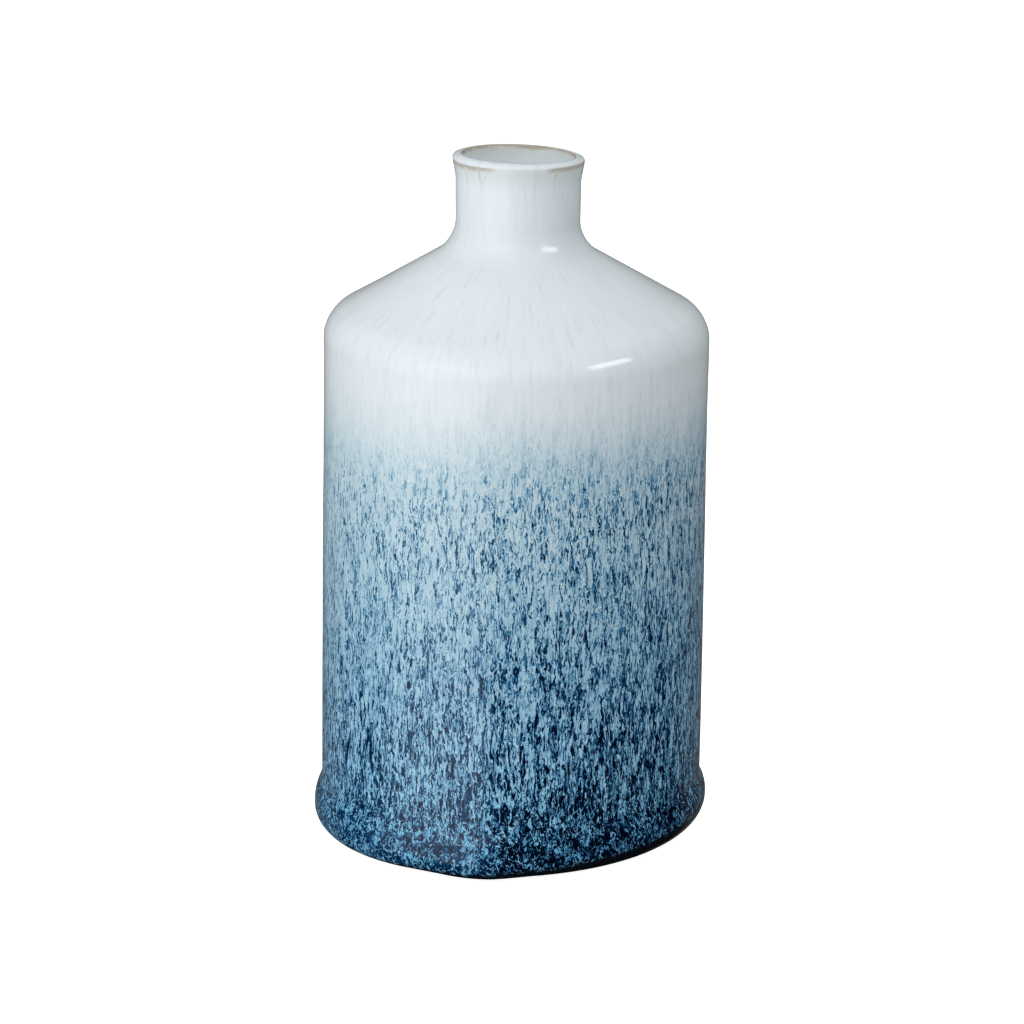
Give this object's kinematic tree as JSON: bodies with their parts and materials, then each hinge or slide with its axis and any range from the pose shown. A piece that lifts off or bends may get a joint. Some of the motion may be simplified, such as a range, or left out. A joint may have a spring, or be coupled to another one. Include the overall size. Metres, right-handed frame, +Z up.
{
  "type": "bottle vase",
  "caption": "Tall round bottle vase: drum body on a rolled foot, sloping shoulder and short flared neck, white glaze running into blue.",
  "frame": {"origin": "centre of the foot ring's resting face, on the vessel's axis", "axes": "+Z up along the vessel's axis of turning; X and Y are alike, with -Y towards the viewer of the picture"},
  "size_m": [0.1728, 0.1728, 0.3],
  "materials": {
    "stoneware_body": "matt bare clay",
    "white_glaze": "gloss",
    "blue_glaze": "gloss",
    "foot_glaze": "gloss",
    "liner_glaze": "gloss",
    "underside_glaze": "gloss"
  },
  "bodies": {
    "root": {"stoneware_body": "stoneware_body", "white_glaze": "white_glaze", "blue_glaze": "blue_glaze", "foot_glaze": "foot_glaze", "liner_glaze": "liner_glaze", "underside_glaze": "underside_glaze"}
  },
  "joints": []
}
